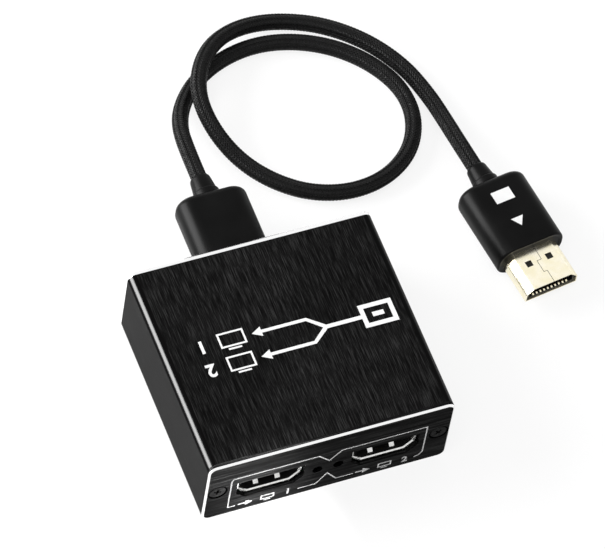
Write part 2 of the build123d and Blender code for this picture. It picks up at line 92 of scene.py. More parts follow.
def brushed_grain(tree, stretch, pitch_mm):
    """Noise drawn out along one axis: the lines that an abrasive belt leaves. stretch is x, y, z."""
    place = add_node(tree, "ShaderNodeTexCoord")["Object"]
    drawn_out = add_node(tree, "ShaderNodeMapping", {"Vector": place, "Scale": stretch})["Vector"]
    return add_node(
        tree, "ShaderNodeTexNoise",
        {"Vector": drawn_out, "Scale": 1 / (pitch_mm * MM), "Detail": 3.0, "Roughness": 0.7},
    )["Fac"]


def black_anodised_sleeve():
    """Black anodised extruded aluminium, belt-brushed along its depth: near black, with silky streaks.

    The belt doesn't reach the rounded edges, so they stay smooth and unstreaked. Their colour is painted
    darker there, a painted shade, and their crest is painted paler, a painted highlight.
    """
    material, tree = new_material("black_anodised_sleeve")
    fine = brushed_grain(tree, (1.0, 0.04, 1.0), 0.22)
    coarse = brushed_grain(tree, (1.0, 0.04, 1.0), 0.5)
    both = add_node(tree, "ShaderNodeMix", {"Factor": 0.24, "A": fine, "B": coarse})["Result"]
    streaks = add_node(
        tree, "ShaderNodeValToRGB", {"Fac": both},
        [(0.38, "#0a0a0a"), (0.64, "#333333"), (0.5, "#161616")],
    )["Color"]
    normal = add_node(tree, "ShaderNodeNewGeometry")["Normal"]
    facing = add_node(tree, "ShaderNodeSeparateXYZ", {"Vector": normal})
    slant = add_node(tree, "ShaderNodeMath", {0: facing["X"], 1: facing["Z"]}, operation="MULTIPLY")[0]
    slant = add_node(tree, "ShaderNodeMath", {0: slant}, operation="ABSOLUTE")[0]
    # Painted shade: the rounded edges are painted darker than the brushed faces.
    edge = add_node(
        tree, "ShaderNodeMapRange", {"Value": slant, "From Min": 0.02, "From Max": 0.1}
    )["Result"]
    # Painted highlight: the crest of each rounded edge is painted paler.
    crest = add_node(
        tree, "ShaderNodeMapRange", {"Value": slant, "From Min": 0.4, "From Max": 0.48}
    )["Result"]
    dark = add_node(
        tree, "ShaderNodeMix", {"Factor": edge, "A": streaks, "B": linear("#101010")}, data_type="RGBA"
    )["Result"]
    colour = add_node(
        tree, "ShaderNodeMix", {"Factor": crest, "A": dark, "B": linear("#383838")}, data_type="RGBA"
    )["Result"]
    belt = add_node(tree, "ShaderNodeMapRange", {"Value": fine, "To Min": 0.34, "To Max": 0.52})["Result"]
    roughness = add_node(tree, "ShaderNodeMix", {"Factor": edge, "A": belt, "B": 0.24})["Result"]
    bump = add_node(
        tree, "ShaderNodeBump", {"Height": fine, "Strength": 0.35, "Distance": 0.02 * MM}
    )["Normal"]
    metal = add_node(
        tree, "ShaderNodeBsdfPrincipled",
        {
            "Base Color": colour, "Metallic": 1.0, "Roughness": roughness, "Normal": bump,
            "Specular Tint": linear("#c6c6c6"), "Anisotropic": 0.6,
        },
    )["BSDF"]
    add_node(tree, "ShaderNodeOutputMaterial", {"Surface": metal})
    return material


def plate_masks(tree, rim_mm, rim_depth_mm):
    """1 on the cut rim of an end plate, and 1 in its countersinks.

    The rim lies near the plate's rounded outline and within a depth of its outer face.
    """
    place = add_node(tree, "ShaderNodeTexCoord")["Object"]
    centred = add_node(
        tree, "ShaderNodeVectorMath", {0: place, 1: (0, 0, case_height / 2)}, operation="SUBTRACT"
    )["Vector"]
    mirrored = add_node(tree, "ShaderNodeVectorMath", {0: centred}, operation="ABSOLUTE")["Vector"]
    flat = add_node(
        tree, "ShaderNodeVectorMath", {0: mirrored, 1: (1, 0, 1)}, operation="MULTIPLY"
    )["Vector"]
    arc_middle = (case_width / 2 - corner_radius, 0, case_height / 2 - corner_radius)
    past = add_node(tree, "ShaderNodeVectorMath", {0: flat, 1: arc_middle}, operation="SUBTRACT")["Vector"]
    past = add_node(tree, "ShaderNodeVectorMath", {0: past, 1: (0, 0, 0)}, operation="MAXIMUM")["Vector"]
    reach = add_node(tree, "ShaderNodeVectorMath", {0: past}, operation="LENGTH")["Value"]
    near_outline = add_node(
        tree, "ShaderNodeMath", {0: reach, 1: corner_radius - rim_mm * MM}, operation="GREATER_THAN"
    )[0]
    depth = add_node(tree, "ShaderNodeSeparateXYZ", {"Vector": mirrored})["Y"]
    near_face = add_node(
        tree, "ShaderNodeMath", {0: depth, 1: case_half_depth - rim_depth_mm * MM}, operation="GREATER_THAN"
    )[0]
    rim = add_node(tree, "ShaderNodeMath", {0: near_outline, 1: near_face}, operation="MULTIPLY")[0]
    off = add_node(
        tree, "ShaderNodeVectorMath", {0: flat, 1: (screw_across, 0, 0)}, operation="SUBTRACT"
    )["Vector"]
    off = add_node(tree, "ShaderNodeVectorMath", {0: off}, operation="LENGTH")["Value"]
    # The countersink mask carries painted shade: the plate is painted near black inside it.
    countersink_shade = add_node(
        tree, "ShaderNodeMath", {0: off, 1: countersink_radius}, operation="LESS_THAN"
    )[0]
    return rim, countersink_shade


def black_anodised_plate(name, rim_mm, rim_depth_mm):
    """Black anodised plate, brushed across, its edge cut bright afterwards: a silver outline.

    Its countersinks are painted near black: painted shade in the ring round each screw head.
    """
    material, tree = new_material(name)
    fine = brushed_grain(tree, (0.02, 1.0, 1.0), 0.26)
    coarse = brushed_grain(tree, (0.012, 1.0, 1.0), 0.8)
    both = add_node(tree, "ShaderNodeMix", {"Factor": 0.3, "A": fine, "B": coarse})["Result"]
    grain = add_node(
        tree, "ShaderNodeValToRGB", {"Fac": both},
        [(0.38, "#0a0a0a"), (0.62, "#3c3c3c"), (0.5, "#191919")],
    )["Color"]
    rim, countersink_shade = plate_masks(tree, rim_mm, rim_depth_mm)
    # Painted shade: near black in the countersinks.
    colour = add_node(
        tree, "ShaderNodeMix", {"Factor": countersink_shade, "A": grain, "B": linear("#030303")},
        data_type="RGBA",
    )["Result"]
    roughness = add_node(
        tree, "ShaderNodeMapRange", {"Value": fine, "To Min": 0.36, "To Max": 0.52}
    )["Result"]
    bump = add_node(
        tree, "ShaderNodeBump", {"Height": fine, "Strength": 0.3, "Distance": 0.02 * MM}
    )["Normal"]
    black = add_node(
        tree, "ShaderNodeBsdfPrincipled",
        {
            "Base Color": colour, "Metallic": 1.0, "Roughness": roughness, "Normal": bump,
            "Specular Tint": linear("#bdbdbd"), "Anisotropic": 0.6,
        },
    )["BSDF"]
    bare = add_node(
        tree, "ShaderNodeBsdfPrincipled",
        {"Base Color": linear("#f8f8f8"), "Metallic": 1.0, "Roughness": 0.2, "Normal": bump},
    )["BSDF"]
    cut = add_node(tree, "ShaderNodeMixShader", {0: rim, 1: black, 2: bare})["Shader"]
    add_node(tree, "ShaderNodeOutputMaterial", {"Surface": cut})
    return material


def plated_metal(name, dark, pale, roughness, grain_mm, at_grazing="#ffffff"):
    """A plated metal surface: one hue with a faint mottle, and the hue it has at a grazing look."""
    material, tree = new_material(name)
    place = add_node(tree, "ShaderNodeTexCoord")["Object"]
    mottle = add_node(
        tree, "ShaderNodeTexNoise", {"Vector": place, "Scale": 1 / (grain_mm * MM), "Detail": 3.0}
    )["Fac"]
    rough = add_node(
        tree, "ShaderNodeMapRange",
        {"Value": mottle, "To Min": roughness * 0.8, "To Max": roughness * 1.3},
    )["Result"]
    bump = add_node(
        tree, "ShaderNodeBump", {"Height": mottle, "Strength": 0.08, "Distance": 0.01 * MM}
    )["Normal"]
    hue = add_node(tree, "ShaderNodeValToRGB", {"Fac": mottle}, [(0.35, dark), (0.65, pale)])["Color"]
    metal = add_node(
        tree, "ShaderNodeBsdfPrincipled",
        {
            "Base Color": hue, "Metallic": 1.0, "Roughness": rough, "Normal": bump,
            "Specular Tint": linear(at_grazing),
        },
    )["BSDF"]
    add_node(tree, "ShaderNodeOutputMaterial", {"Surface": metal})
    return material


def moulded_plastic(name, dark, pale, roughness, grain_mm, bump_mm=0.01, ior=1.3):
    """A moulded polymer with the fine spark-eroded grain of its tool, which dulls its gloss."""
    material, tree = new_material(name)
    place = add_node(tree, "ShaderNodeTexCoord")["Object"]
    grain = add_node(
        tree, "ShaderNodeTexNoise", {"Vector": place, "Scale": 1 / (grain_mm * MM), "Detail": 2.0}
    )["Fac"]
    cloud = add_node(
        tree, "ShaderNodeTexNoise", {"Vector": place, "Scale": 1 / (6 * MM), "Detail": 2.0}
    )["Fac"]
    rough = add_node(
        tree, "ShaderNodeMapRange",
        {"Value": cloud, "To Min": roughness - 0.05, "To Max": roughness + 0.07},
    )["Result"]
    bump = add_node(
        tree, "ShaderNodeBump", {"Height": grain, "Strength": 0.3, "Distance": bump_mm * MM}
    )["Normal"]
    hue = add_node(tree, "ShaderNodeValToRGB", {"Fac": cloud}, [(0.3, dark), (0.7, pale)])["Color"]
    plastic = add_node(
        tree, "ShaderNodeBsdfPrincipled",
        {"Base Color": hue, "Roughness": rough, "IOR": ior, "Normal": bump},
    )["BSDF"]
    add_node(tree, "ShaderNodeOutputMaterial", {"Surface": plastic})
    return material


def screen_ink(name, dark, pale):
    """White two-part screen ink: a flat, slightly chalky film. Its darker copy on the front plate is
    painted shade.
    """
    return moulded_plastic(name, dark, pale, roughness=0.55, grain_mm=0.08, bump_mm=0.002)


def braided_nylon():
    """Black nylon yarn, braided: near black, with small glints where its filaments lie smooth.

    The filaments are finer than a pixel, so the glints are drawn half a millimetre long. The middle of each
    strand is painted paler: a painted highlight along its crown.
    """
    material, tree = new_material("braided_nylon")
    strand = add_node(tree, "ShaderNodeUVMap", uv_map="strand")["UV"]
    scaled = add_node(tree, "ShaderNodeMapping", {"Vector": strand, "Scale": (1.1, 1.3, 1.0)})["Vector"]
    glint = add_node(tree, "ShaderNodeTexNoise", {"Vector": scaled, "Scale": 1.0, "Detail": 1.0})["Fac"]
    across = add_node(tree, "ShaderNodeSeparateXYZ", {"Vector": strand})["Y"]
    # Painted highlight: the middle of each strand is painted paler than its sides.
    crown = add_node(
        tree, "ShaderNodeValToRGB", {"Fac": across},
        [(0.25, "#020202"), (0.75, "#020202"), (0.5, "#161616")],
    )["Color"]
    shine = add_node(
        tree, "ShaderNodeValToRGB", {"Fac": glint}, [(0.38, "#d0d0d0"), (0.6, "#7a7a7a")]
    )["Color"]
    bump = add_node(
        tree, "ShaderNodeBump", {"Height": glint, "Strength": 1.0, "Distance": 0.09 * MM}
    )["Normal"]
    nylon = add_node(
        tree, "ShaderNodeBsdfPrincipled",
        {"Base Color": crown, "Roughness": shine, "IOR": 1.2, "Normal": bump},
    )["BSDF"]
    add_node(tree, "ShaderNodeOutputMaterial", {"Surface": nylon})
    return material


def solder_mask_board():
    """Green solder mask on glass epoxy, with copper tracks that show through a shade lighter."""
    material, tree = new_material("solder_mask_board")
    place = add_node(tree, "ShaderNodeTexCoord")["Object"]
    tracks = add_node(
        tree, "ShaderNodeTexBrick",
        {
            "Vector": place, "Scale": 1 / (6 * MM), "Mortar Size": 0.03,
            "Color1": linear("#0c4a2a"), "Color2": linear("#0e5631"), "Mortar": linear("#17703f"),
        },
    )["Color"]
    mask = add_node(
        tree, "ShaderNodeBsdfPrincipled", {"Base Color": tracks, "Roughness": 0.35, "IOR": 1.5}
    )["BSDF"]
    add_node(tree, "ShaderNodeOutputMaterial", {"Surface": mask})
    return material


sleeve_metal = black_anodised_sleeve()
front_metal = black_anodised_plate("black_anodised_front_plate", rim_mm=0.44, rim_depth_mm=0.46)
rear_metal = black_anodised_plate("black_anodised_rear_plate", rim_mm=0.44, rim_depth_mm=1.3)
screw_steel = plated_metal(
    "black_oxide_steel", "#161616", "#2a2a2a", roughness=0.45, grain_mm=0.5, at_grazing="#cacaca"
)
nickel = plated_metal("nickel_plated_bronze", "#cfcfcd", "#e2e2e0", roughness=0.24, grain_mm=0.8)
tin_plate = plated_metal("drawn_tin_plate", "#b9bbbd", "#d2d4d6", roughness=0.3, grain_mm=1.2)
pale_gold = plated_metal("pale_gold_flash", "#f8f0d2", "#fcf6e2", roughness=0.24, grain_mm=2.5)
contact_gold = plated_metal("hard_gold_contact", "#c99a3c", "#e2b95a", roughness=0.22, grain_mm=0.3)
port_polymer = moulded_plastic(
    "glass_filled_port_polymer", "#0a0a0a", "#121212", roughness=0.5, grain_mm=0.12
)
grip_plastic = moulded_plastic(
    "satin_moulded_pvc", "#030303", "#070707", roughness=0.36, grain_mm=0.15, bump_mm=0.006, ior=1.17
)
relief_rubber = moulded_plastic(
    "soft_moulded_relief", "#030303", "#080808", roughness=0.38, grain_mm=0.15, bump_mm=0.008, ior=1.17
)
jacket = moulded_plastic("cord_jacket", "#060606", "#0a0a0a", roughness=0.6, grain_mm=0.2)
chip_epoxy = moulded_plastic("moulded_chip_epoxy", "#17181a", "#202124", roughness=0.55, grain_mm=0.1)
ferrite_ceramic = moulded_plastic("pressed_ferrite", "#2b2c2e", "#3a3b3d", roughness=0.6, grain_mm=0.1)
chip_ceramic = moulded_plastic("fired_chip_ceramic", "#8a6f4e", "#a58a66", roughness=0.4, grain_mm=0.1)
lens_epoxy = moulded_plastic(
    "smoked_lens_epoxy", "#050505", "#0b0b0b", roughness=0.15, grain_mm=0.5, bump_mm=0.001
)
board_epoxy = solder_mask_board()
ink = screen_ink("white_screen_ink", "#cccccc", "#d8d8d8")
# The front plate's copy of the white ink is painted darker: painted shade.
front_ink_shaded_copy = screen_ink("white_screen_ink_shaded_copy", "#acacac", "#b8b8b8")
yarn = braided_nylon()

finish = {
    "case_tube": sleeve_metal, "front_panel": front_metal, "rear_panel": rear_metal,
    "front_screws": screw_steel, "rear_screws": screw_steel, "circuit_board": board_epoxy,
    "splitter_chip": chip_epoxy, "memory_chip": chip_epoxy, "voltage_regulator": chip_epoxy,
    "crystal": tin_plate, "bulk_capacitor": tin_plate, "power_inductor": ferrite_ceramic,
    "ceramic_capacitors": chip_ceramic, "resistors": chip_epoxy, "output_leds": lens_epoxy,
    "power_led": lens_epoxy, "cable": jacket, "output_port_1_shell": nickel,
    "output_port_2_shell": nickel,
}
endings = {
    "port_shell": nickel, "plug_shell": pale_gold, "insulator": port_polymer, "contacts": contact_gold,
    "housing": grip_plastic, "strain_relief": relief_rubber,
}
for name, node_object in nodes.items():
    by_ending = [material for ending, material in endings.items() if name.endswith(ending)]
    for material_slot in node_object.material_slots:
        material_slot.material = finish.get(name) or by_ending[0]


def aim_camera():
    """The photograph's long-lens view, from above the left front corner and rolled a little."""
    azimuth = math.radians(-29.76)
    elevation = math.radians(56.90)
    roll = math.radians(10.77)
    back = Vector((
        math.sin(azimuth) * math.cos(elevation),
        -math.cos(azimuth) * math.cos(elevation),
        math.sin(elevation),
    ))
    level = Vector((math.cos(azimuth), math.sin(azimuth), 0.0))
    rise = back.cross(level)
    right = level * math.cos(roll) + rise * math.sin(roll)
    up = rise * math.cos(roll) - level * math.sin(roll)
    distance = 1.5
    aside = 0.00491
    above = 0.026315
    focal_pixels = 6493.5
    photo_width_pixels = 605
    eye = back * distance + right * aside + up * above
    bpy.ops.object.camera_add(location=eye)
    camera = bpy.context.object
    camera.name = "studio_camera"
    camera.matrix_world = Matrix.Translation(eye) @ Matrix((right, up, back)).transposed().to_4x4()
    camera.data.sensor_width = 36.0
    camera.data.sensor_fit = "HORIZONTAL"
    camera.data.lens = focal_pixels * camera.data.sensor_width / photo_width_pixels
    camera.data.clip_start = 0.1
    camera.data.clip_end = 20.0
    bpy.context.scene.camera = camera


def plain_floor():
    """A white paper sweep: it shows white to the eye and in metal, and still takes a soft shadow."""
    bpy.ops.object.select_all(action="DESELECT")
    bpy.ops.mesh.primitive_plane_add(size=6.0, location=(0, 0, -0.05 * MM))
    floor = bpy.context.object
    floor.name = "paper_floor"
    material, tree = new_material("white_paper")
    to_eye = 0.82
    to_metal = 0.45
    seen = add_node(tree, "ShaderNodeLightPath")
    straight = add_node(
        tree, "ShaderNodeMath", {0: seen["Is Camera Ray"], 1: seen["Is Transmission Ray"]},
        operation="ADD",
    )[0]
    in_metal = add_node(
        tree, "ShaderNodeMath", {0: seen["Is Glossy Ray"], 1: to_metal}, operation="MULTIPLY"
    )[0]
    shown = add_node(
        tree, "ShaderNodeMath", {0: straight, 1: to_eye, 2: in_metal}, operation="MULTIPLY_ADD"
    )[0]
    shown = add_node(tree, "ShaderNodeMath", {0: shown, 1: to_eye}, operation="MINIMUM")[0]
    lit = add_node(tree, "ShaderNodeBsdfDiffuse", {"Color": linear("#f4f4f4")})["BSDF"]
    glow = add_node(tree, "ShaderNodeEmission", {"Color": (1, 1, 1, 1), "Strength": 1.0})["Emission"]
    mixed = add_node(tree, "ShaderNodeMixShader", {0: shown, 1: lit, 2: glow})["Shader"]
    add_node(tree, "ShaderNodeOutputMaterial", {"Surface": mixed})
    floor.data.materials.append(material)


def studio_world():
    """A white room: white to the eye and in metal, and a plain soft level on everything else."""
    world = bpy.data.worlds.new("white_room")
    bpy.context.scene.world = world
    world.use_nodes = True
    tree = world.node_tree
    tree.nodes.clear()
    seen = add_node(tree, "ShaderNodeLightPath")
    shown = seen["Is Camera Ray"]
    for kind in ("Is Glossy Ray", "Is Transmission Ray"):
        shown = add_node(tree, "ShaderNodeMath", {0: shown, 1: seen[kind]}, operation="ADD")[0]
    shown = add_node(tree, "ShaderNodeMath", {0: shown, 1: 1.0}, operation="MINIMUM")[0]
    room = add_node(tree, "ShaderNodeBackground", {"Color": linear("#c8c8c8")})["Background"]
    white = add_node(tree, "ShaderNodeBackground", {"Color": (1, 1, 1, 1)})["Background"]
    mixed = add_node(tree, "ShaderNodeMixShader", {0: shown, 1: room, 2: white})["Shader"]
    add_node(tree, "ShaderNodeOutputWorld", {"Surface": mixed})


def soft_lamp(name, place, target, size, watts, spread=180.0):
    """A square soft box that faces a point. A spread of a few degrees is a grid in front of it."""
    bpy.ops.object.light_add(type="AREA", location=place)
    lamp = bpy.context.object
    lamp.name = name
    lamp.data.shape = "SQUARE"
    lamp.data.size = size
    lamp.data.energy = watts
    lamp.data.spread = math.radians(spread)
    lamp.visible_camera = False
    lamp.rotation_euler = (Vector(target) - Vector(place)).to_track_quat("-Z", "Y").to_euler()


bpy.context.scene.view_settings.view_transform = "Standard"
aim_camera()
plain_floor()
studio_world()
soft_lamp("overhead_box", (-0.2, -0.3, 1.1), (0, 0, 0), size=0.9, watts=5.0)
soft_lamp("rim_box", (-0.75, 0.425, 0.28), (0, 0, 0.02), size=0.7, watts=24.0)
# It lights only the strip of floor that the left half of the front plate mirrors.
soft_lamp(
    "front_spot", (-0.0155, -0.0365, 0.09), (-0.0155, -0.0365, 0.0), size=0.015, watts=0.0105,
    spread=16.0,
)


# Where the two reliefs close on the cord, and where the far plug points.
near_end_mm = Vector((-1.0, 54.6, 9.1))
far_end_mm = Vector((64.1, 41.0, 4.8))
far_turn = math.radians(8.0)
heading = Vector((math.sin(far_turn), -math.cos(far_turn), 0.0))
straight_mm = 8.2

# The cord's route: the solids' own points, in millimetres.
route_mm = [
    near_end_mm, near_end_mm + Vector((0, straight_mm, 0)),
    (0.2, 70.8, 6.7), (3.8, 78.6, 3.0), (9.8, 85.2, 2.0),
    (18.2, 89.4, 2.0), (27.2, 90.9, 2.0), (36.4, 89.3, 2.0), (45.2, 84.8, 2.0), (52.2, 77.8, 2.0),
    (56.5, 69.2, 2.0), (56.5, 60.0, 2.0), (52.0, 51.5, 2.0), (44.0, 46.2, 2.0), (34.6, 44.8, 2.0),
    (25.2, 47.3, 2.0), (17.6, 53.0, 2.0), (11.8, 60.6, 2.6), (8.2, 69.2, 4.8), (7.5, 78.1, 6.7),
    (10.8, 86.0, 7.1), (17.0, 92.4, 5.8), (25.4, 95.9, 3.6), (34.8, 95.9, 2.0), (44.6, 91.8, 2.0),
    (53.2, 84.4, 2.0), (59.2, 75.0, 2.0), (62.0, 65.2, 2.0), (63.0, 56.4, 2.6),
    far_end_mm - heading * straight_mm, far_end_mm,
]
jacket_radius = 1.62 * MM
strands_each_way = 16
braid_pitch = 12.57 * MM
strand_width = 0.56 * MM
strand_thickness = 0.24 * MM


def cord_core():
    """The jacket under the braid, on one smooth line."""
    curve = bpy.data.curves.new("cord_core", "CURVE")
    curve.dimensions = "3D"
    spline = curve.splines.new("NURBS")
    spline.points.add(len(route_mm) - 1)
    for point, place in zip(spline.points, route_mm):
        point.co = (place[0] * MM, place[1] * MM, place[2] * MM, 1.0)
    spline.order_u = 3
    spline.use_endpoint_u = True
    spline.resolution_u = 24
    core = bpy.data.objects.new("cord_core", curve)
    bpy.context.scene.collection.objects.link(core)
    line = bpy.data.meshes.new_from_object(core)
    walk = numpy.array([vertex.co[:] for vertex in line.vertices])
    bpy.data.meshes.remove(line)
    curve.bevel_depth = jacket_radius
    curve.bevel_resolution = 4
    curve.use_fill_caps = True
    curve.materials.append(jacket)
    return core, walk


def frames_along(walk):
    """Running length, and a pair of cross directions that don't twist, along a line of points."""
    steps = numpy.diff(walk, axis=0)
    lengths = numpy.linalg.norm(steps, axis=1)
    run = numpy.concatenate(([0.0], numpy.cumsum(lengths)))
    ahead = numpy.vstack((steps[:1], steps[:-1] + steps[1:], steps[-1:]))
    ahead /= numpy.linalg.norm(ahead, axis=1)[:, None]
    side = numpy.cross(ahead[0], (0.0, 0.0, 1.0))
    sides = []
    for direction in ahead:
        side = side - direction * numpy.dot(side, direction)
        side = side / numpy.linalg.norm(side)
        sides.append(side)
    sides = numpy.array(sides)
    return run, sides, numpy.cross(ahead, sides)


def braid(name, walk, hand):
    """Sixteen flat strands wound one way, over two and under two of those that go the other way."""
    waves_each_turn = strands_each_way / 2
    points_each_wave = 6
    dwell = 1.6
    middle = 1.76 * MM
    swing = 0.12 * MM
    flat_share = 0.55
    skirt = 0.3 * strand_thickness
    crown = 0.5 * strand_thickness
    half = strand_width / 2
    run, sides, rises = frames_along(walk)
    wave = braid_pitch / waves_each_turn
    total = run[-1]
    count = int(total / wave * points_each_wave)
    place = numpy.linspace(0.0, total, count)
    centre = numpy.stack([numpy.interp(place, run, walk[:, i]) for i in range(3)], axis=1)
    side = numpy.stack([numpy.interp(place, run, sides[:, i]) for i in range(3)], axis=1)
    rise = numpy.stack([numpy.interp(place, run, rises[:, i]) for i in range(3)], axis=1)
    vertices = []
    faces = []
    for strand in range(strands_each_way):
        start = 2 * math.pi * strand / strands_each_way
        turn = start + hand * 2 * math.pi * place / braid_pitch
        phase = 2 * math.pi * place / wave + hand * start * waves_each_turn
        lift = swing * numpy.clip(dwell * numpy.sin(phase + (0.0 if hand > 0 else math.pi)), -1, 1)
        out = numpy.cos(turn)[:, None] * side + numpy.sin(turn)[:, None] * rise
        path = centre + out * (middle + lift)[:, None]
        run_way = numpy.gradient(path, axis=0)
        run_way /= numpy.linalg.norm(run_way, axis=1)[:, None]
        across = numpy.cross(out, run_way)
        across /= numpy.linalg.norm(across, axis=1)[:, None]
        first = len(vertices)
        ring = numpy.stack(
            [
                path - across * half - out * skirt,
                path - across * half * flat_share + out * crown,
                path + across * half * flat_share + out * crown,
                path + across * half - out * skirt,
            ],
            axis=1,
        )
        vertices.extend(ring.reshape(-1, 3).tolist())
        for i in range(count - 1):
            here = first + 4 * i
            for j in range(4):
                k = (j + 1) % 4
                faces.append((here + j, here + k, here + 4 + k, here + 4 + j))
        last = first + 4 * (count - 1)
        faces.append((first + 3, first + 2, first + 1, first))
        faces.append((last, last + 1, last + 2, last + 3))
    mesh = bpy.data.meshes.new(name)
    mesh.from_pydata(vertices, [], faces)
    strand_map = mesh.uv_layers.new(name="strand")
    across_share = numpy.array((0.0, 0.3, 0.7, 1.0))
    along_and_across = numpy.empty((len(mesh.loops), 2))
    corners = numpy.empty(len(mesh.loops), dtype=int)
    mesh.loops.foreach_get("vertex_index", corners)
    within = corners % (4 * count)
    along_and_across[:, 0] = place[within // 4] / strand_width
    along_and_across[:, 1] = across_share[within % 4]
    strand_map.data.foreach_set("uv", along_and_across.ravel())
    mesh.update()
    piece = bpy.data.objects.new(name, mesh)
    bpy.context.scene.collection.objects.link(piece)
    mesh.materials.append(yarn)
    mesh.polygons.foreach_set("use_smooth", [True] * len(mesh.polygons))
    return piece


core, walk = cord_core()
braids = [braid("braid_left_hand", walk, 1), braid("braid_right_hand", walk, -1)]
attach(core, "input_cable")
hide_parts("cable")
for piece in braids:
    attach(piece, "input_cable")


def add_shape(name, kind, scale=(1, 1, 1), **settings):
    """One primitive at its size and place, with nothing else selected."""
    bpy.ops.object.select_all(action="DESELECT")
    getattr(bpy.ops.mesh, "primitive_%s_add" % kind)(**settings)
    made = bpy.context.object
    made.name = name
    made.data.name = name
    made.scale = scale
    bpy.ops.object.transform_apply(location=True, rotation=True, scale=True)
    return made


def choose(piece, kind, test):
    """In edit mode, selects only the faces or edges that pass a test on their centre and direction."""
    bpy.ops.mesh.select_mode(type="FACE" if kind == "faces" else "EDGE")
    bpy.ops.mesh.select_all(action="DESELECT")
    shape = bmesh.from_edit_mesh(piece.data)
    if kind == "faces":
        for face in shape.faces:
            if test(face.calc_center_median(), face.normal):
                face.select_set(True)
    else:
        for edge in shape.edges:
            ends = [vertex.co for vertex in edge.verts]
            if test((ends[0] + ends[1]) / 2, (ends[1] - ends[0]).normalized()):
                edge.select_set(True)
    bmesh.update_edit_mesh(piece.data)


def settle(piece, place, angle=35.0):
    """Leaves edit mode, puts the place into the mesh and smooths all but the sharp edges."""
    bpy.ops.object.mode_set(mode="OBJECT")
    bpy.ops.object.select_all(action="DESELECT")
    bpy.context.view_layer.objects.active = piece
    piece.select_set(True)
    piece.matrix_world = place @ piece.matrix_world
    bpy.ops.object.transform_apply(location=True, rotation=True, scale=True)
    bpy.ops.object.shade_smooth_by_angle(angle=math.radians(angle))


def dress(piece, body, material):
    """Gives a piece its body and its material."""
    piece.data.materials.clear()
    piece.data.materials.append(material)
    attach(piece, body)


def cut_away(piece, cutter):
    """Cuts one closed shape out of another and drops the cutter."""
    knife = piece.modifiers.new("cut", "BOOLEAN")
    knife.operation = "DIFFERENCE"
    knife.solver = "EXACT"
    knife.object = cutter
    bpy.ops.object.select_all(action="DESELECT")
    bpy.context.view_layer.objects.active = piece
    bpy.ops.object.modifier_apply(modifier="cut")
    bpy.data.objects.remove(cutter)


def give_wall(piece, wall):
    """Gives a bare skin a wall of real thickness, inwards."""
    modifier = piece.modifiers.new("wall", "SOLIDIFY")
    modifier.thickness = wall
    modifier.offset = -1.0
    modifier.use_even_offset = True
    bpy.context.view_layer.objects.active = piece
    bpy.ops.object.modifier_apply(modifier="wall")


def joined(pieces):
    """Several pieces of one finish as one."""
    bpy.ops.object.select_all(action="DESELECT")
    for piece in pieces:
        piece.select_set(True)
    bpy.context.view_layer.objects.active = pieces[0]
    bpy.ops.object.join()
    return bpy.context.object


def face_outwards():
    """Points every face of the shape in edit mode outwards, and leaves it all selected."""
    bpy.ops.mesh.select_all(action="SELECT")
    bpy.ops.mesh.normals_make_consistent(inside=False)


def draw_out(half_width, half_height, profile):
    """Extrudes the chosen end face along +Y through a profile of (y, how far its edge lies inwards)."""
    for (y, inwards), (next_y, next_inwards) in zip(profile, profile[1:]):
        bpy.ops.mesh.extrude_region_move(TRANSFORM_OT_translate={"value": (0, next_y - y, 0)})
        wide = (half_width - next_inwards) / (half_width - inwards)
        tall = (half_height - next_inwards) / (half_height - inwards)
        bpy.ops.transform.resize(value=(wide, 1, tall), center_override=(0, next_y, 0))


def round_piece(name, sides, radius, start, shape_mm):
    """A closed round piece along +Y, from (along, how far its edge lies inwards) in millimetres."""
    made = add_shape(
        name, "circle", vertices=sides, radius=radius, fill_type="NGON", location=(0, start, 0),
        rotation=(math.pi / 2, 0, 0),
    )
    bpy.ops.object.mode_set(mode="EDIT")
    bpy.ops.mesh.select_all(action="SELECT")
    draw_out(radius, radius, [(start + along * MM, inwards * MM) for along, inwards in shape_mm])
    face_outwards()
    bpy.ops.object.mode_set(mode="OBJECT")
    return made


def quarter_round(radius, steps):
    """(along, inwards) pairs of a quarter circle, from its crest to its tangent."""
    turns = [math.pi / 2 * i / steps for i in range(steps + 1)]
    return [(radius * (1 - math.cos(turn)), radius * (1 - math.sin(turn))) for turn in turns]


# The plugs, drawn with their tip at the origin and their cord end towards +Y.
plug_reach = 10.0 * MM
grip_wide = 17.6 * MM
grip_tall = 9.6 * MM
grip_long = 20.5 * MM
relief_long = 6.0 * MM
plug_long = plug_reach + grip_long + relief_long


def plug_grip(name, place):
    """The moulded grip: full round sides, a softly rounded cord end and a crisp lip round its front."""
    front = plug_reach
    back = plug_reach + grip_long
    lip = 0.55 * MM
    side_round = 3.75 * MM
    front_round = quarter_round(lip, 4)
    back_round = quarter_round(2.0 * MM, 8)
    profile = [(front + along, inwards) for along, inwards in front_round]
    profile += [(back - along, inwards) for along, inwards in reversed(back_round)]
    grip = add_shape(
        name, "plane", size=1.0, location=(0, front, 0), rotation=(math.pi / 2, 0, 0),
        scale=(grip_wide - 2 * lip, grip_tall - 2 * lip, 1.0),
    )
    bpy.ops.object.mode_set(mode="EDIT")
    bpy.ops.mesh.select_all(action="SELECT")
    bpy.ops.mesh.bevel(offset=side_round, segments=12, affect="VERTICES")
    bpy.ops.mesh.select_all(action="SELECT")
    draw_out(grip_wide / 2, grip_tall / 2, profile)
    face_outwards()
    choose(grip, "faces", lambda middle, normal: normal.y < -0.9)
    bpy.ops.mesh.inset(thickness=0.7 * MM, depth=-0.25 * MM)
    settle(grip, place)
    return grip


def plug_relief(name, place):
    """The collar and the tapered relief, which close on the cord."""
    shape_mm = [
        (0.0, 0.0), (1.4, 0.0), (1.65, 0.06), (1.8, 0.2), (1.86, 0.36), (5.3, 0.78), (5.65, 0.86),
        (5.9, 1.02), (relief_long / MM, 1.25),
    ]
    relief = round_piece(name, 48, 3.3 * MM, plug_reach + grip_long, shape_mm)
    settle(relief, place, angle=50.0)
    return relief


